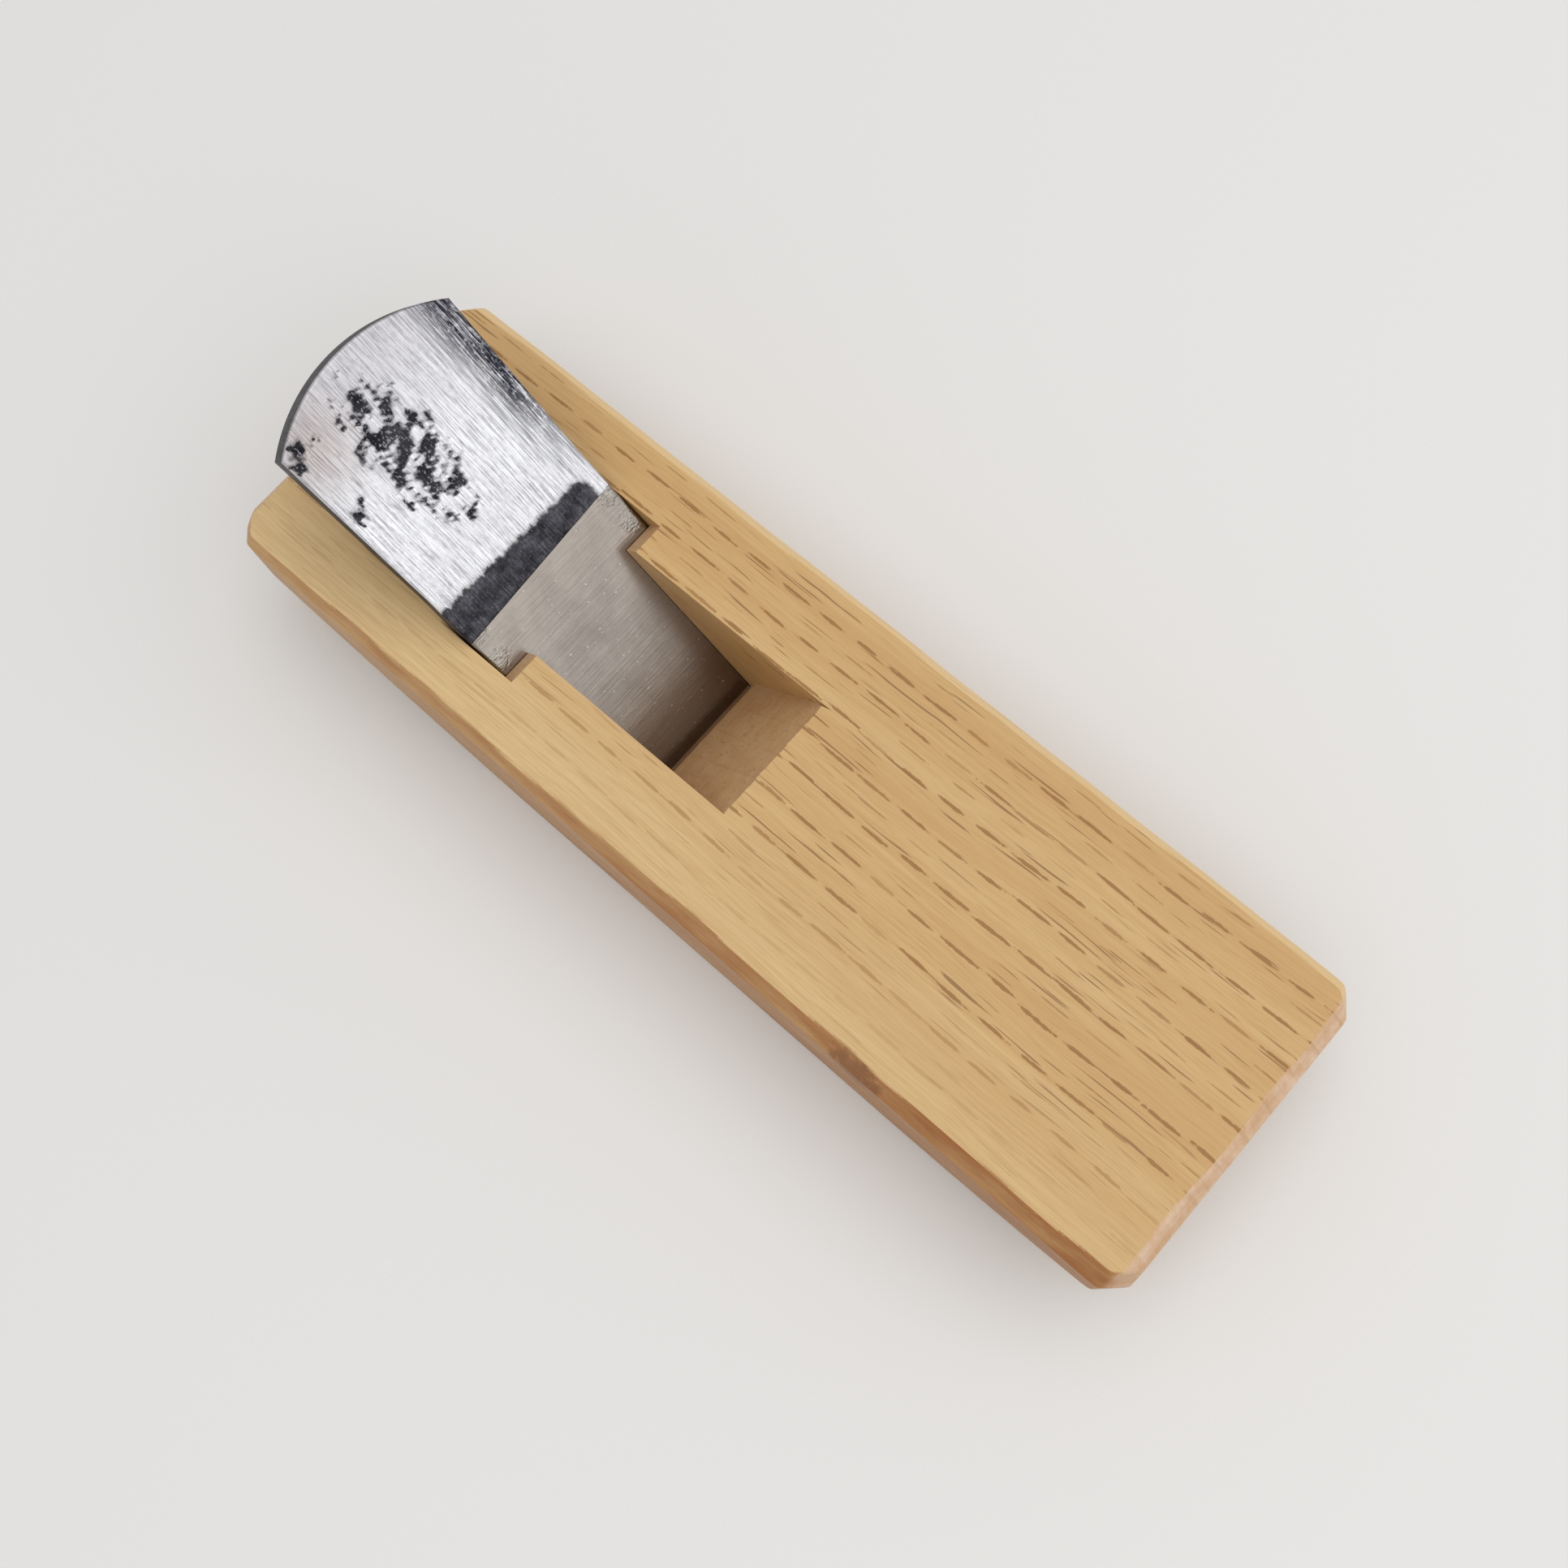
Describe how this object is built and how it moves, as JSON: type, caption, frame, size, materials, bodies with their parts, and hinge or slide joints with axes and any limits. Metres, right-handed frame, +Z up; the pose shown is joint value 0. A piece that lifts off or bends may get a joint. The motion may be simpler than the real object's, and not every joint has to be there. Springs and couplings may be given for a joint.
{
  "type": "wooden pull plane",
  "caption": "Small wooden pull plane: an oak block with a curved sole and chip throat, holding a laminated wedge blade that slides in side grooves.",
  "frame": {"origin": "under the middle of the block, on the surface the sole's flat land stands on", "axes": "+X along the block towards the toe, the way the plane cuts; +Z up; +Y across, to the left of the cut"},
  "size_m": [0.162, 0.05, 0.0487],
  "materials": {
    "oak": "planed oak with ray flecks, bare and slightly oiled",
    "soft_iron": "forged iron, filed bright with coarse lengthwise scratches and dark scale",
    "hard_steel": "honed satin steel"
  },
  "bodies": {
    "body": {"plane_body": "oak"},
    "blade": {"blade_iron": "soft_iron", "blade_steel": "hard_steel"}
  },
  "joints": [
    {"name": "blade_slide", "type": "slide", "parent": "body", "child": "blade", "axis": [-0.766, 0, 0.6428], "range_m": [-0.001, 0.029]}
  ]
}
